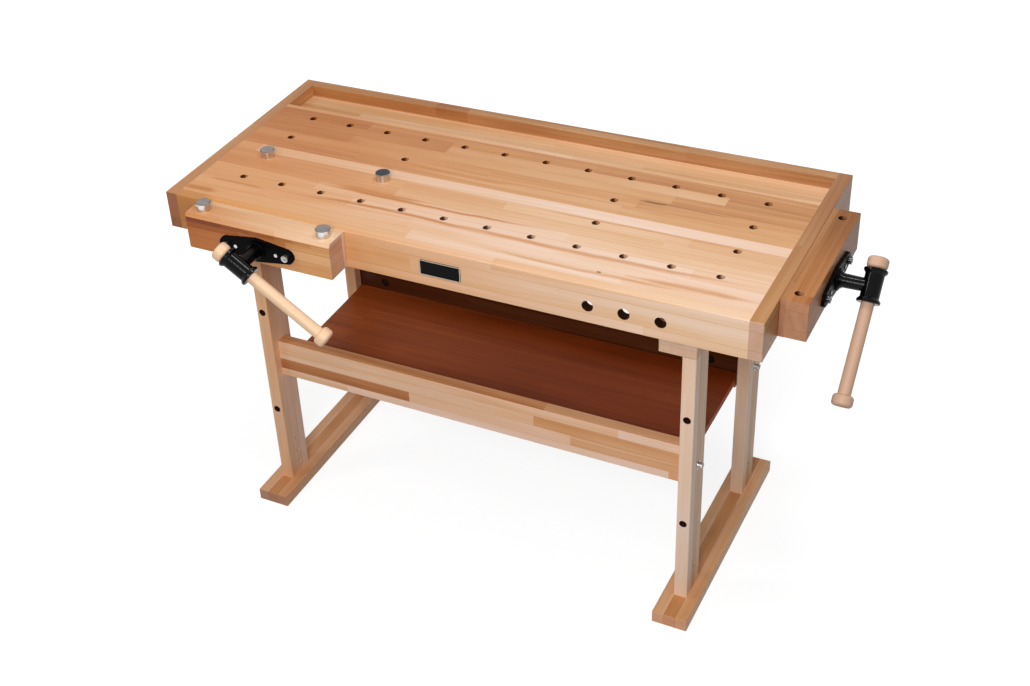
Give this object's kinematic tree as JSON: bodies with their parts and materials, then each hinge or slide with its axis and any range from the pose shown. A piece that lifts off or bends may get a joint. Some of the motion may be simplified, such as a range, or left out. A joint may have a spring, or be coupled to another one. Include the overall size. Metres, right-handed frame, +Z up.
{
  "type": "woodworking bench",
  "caption": "Free-standing woodworking bench with round dog holes, a tool well, a shelf between its trestles, and wooden-jawed screw vises at the front and at one end.",
  "frame": {"origin": "on the floor, under the middle of the whole bench with its vises and handles", "axes": "+X to the right along the top, towards the end vise; +Y to the back, towards the tool well; +Z up"},
  "size_m": [1.6703, 0.8432, 0.954],
  "materials": {
    "beech": "clear oiled beech, glued up from staves",
    "shelf_beech": "oiled beech board",
    "handle_beech": "turned pale beech, lacquered",
    "black_casting": "gloss black enamel on cast iron",
    "bright_steel": "bright turned steel",
    "dark_plate": "blank black plate with a pale border"
  },
  "bodies": {
    "bench": {"back_rail": "beech", "barrel_nuts": "bright_steel", "bearer_bolts": "bright_steel", "cleat_screws": "bright_steel", "end_bracket_screws": "bright_steel", "end_nut_bracket": "black_casting", "front_apron": "beech", "front_bracket_screws": "bright_steel", "front_left_post": "beech", "front_nut_bracket": "black_casting", "front_right_post": "beech", "front_shelf_cleat": "beech", "front_stretcher": "beech", "left_batten": "beech", "left_end_cap": "beech", "left_foot": "beech", "left_top_bearer": "beech", "name_plate": "dark_plate", "rear_left_post": "beech", "rear_right_post": "beech", "rear_shelf_cleat": "beech", "rear_stretcher": "beech", "right_batten": "beech", "right_end_cap": "beech", "right_foot": "beech", "right_top_bearer": "beech", "shelf": "shelf_beech", "stretcher_bolts": "bright_steel", "stretcher_dowels": "beech", "stretcher_washers": "bright_steel", "top_panel": "beech", "well_floor": "beech"},
    "front_jaw": {"front_jaw": "beech", "front_jaw_lining": "beech", "front_flange": "black_casting", "front_guide_rods": "bright_steel", "front_rod_bolts": "bright_steel", "front_flange_screws": "bright_steel"},
    "front_screw": {"front_screw": "bright_steel", "front_handle_hub": "black_casting", "front_screw_collar": "bright_steel"},
    "front_handle": {"front_handle_bar": "handle_beech", "front_handle_knobs": "handle_beech"},
    "end_jaw": {"end_jaw": "beech", "end_jaw_lining": "beech", "end_flange": "black_casting", "end_guide_rods": "bright_steel", "end_rod_bolts": "bright_steel", "end_flange_screws": "bright_steel"},
    "end_screw": {"end_screw": "bright_steel", "end_handle_hub": "black_casting", "end_screw_collar": "bright_steel"},
    "end_handle": {"end_handle_bar": "handle_beech", "end_handle_knobs": "handle_beech"},
    "bench_dog_left": {"bench_dog_left": "bright_steel"},
    "bench_dog_right": {"bench_dog_right": "bright_steel"},
    "jaw_dog_left": {"jaw_dog_left": "bright_steel"},
    "jaw_dog_right": {"jaw_dog_right": "bright_steel"}
  },
  "joints": [
    {"name": "front_jaw_slide", "type": "slide", "parent": "bench", "child": "front_jaw", "axis": [0, -1, 0], "range_m": [0, 0.138]},
    {"name": "front_screw_turn", "type": "hinge", "parent": "front_jaw", "child": "front_screw", "pos_m": [-0.52915, -0.31365, 0.8795], "axis": [0, -1, 0], "range_deg": [0, 8280]},
    {"name": "front_handle_slide", "type": "slide", "parent": "front_screw", "child": "front_handle", "axis": [-0.832, 0, 0.5548], "range_m": [0, 0.2034]},
    {"name": "end_jaw_slide", "type": "slide", "parent": "bench", "child": "end_jaw", "axis": [1, 0, 0], "range_m": [0, 0.138]},
    {"name": "end_screw_turn", "type": "hinge", "parent": "end_jaw", "child": "end_screw", "pos_m": [0.72715, 0.05665, 0.8795], "axis": [1, 0, 0], "range_deg": [0, 8280]},
    {"name": "end_handle_slide", "type": "slide", "parent": "end_screw", "child": "end_handle", "axis": [0, 0.6691, 0.7431], "range_m": [0, 0.2034]},
    {"name": "bench_dog_left_lift", "type": "slide", "parent": "bench", "child": "bench_dog_left", "axis": [0, 0, 1], "range_m": [0, 0.045]},
    {"name": "bench_dog_right_lift", "type": "slide", "parent": "bench", "child": "bench_dog_right", "axis": [0, 0, 1], "range_m": [0, 0.045]},
    {"name": "jaw_dog_left_lift", "type": "slide", "parent": "front_jaw", "child": "jaw_dog_left", "axis": [0, 0, 1], "range_m": [0, 0.045]},
    {"name": "jaw_dog_right_lift", "type": "slide", "parent": "front_jaw", "child": "jaw_dog_right", "axis": [0, 0, 1], "range_m": [0, 0.045]}
  ],
  "couplings": [
    {"joint": "front_jaw_slide", "follows": "front_screw_turn", "m_per_rad": 0.00095492},
    {"joint": "end_jaw_slide", "follows": "end_screw_turn", "m_per_rad": 0.00095492}
  ]
}
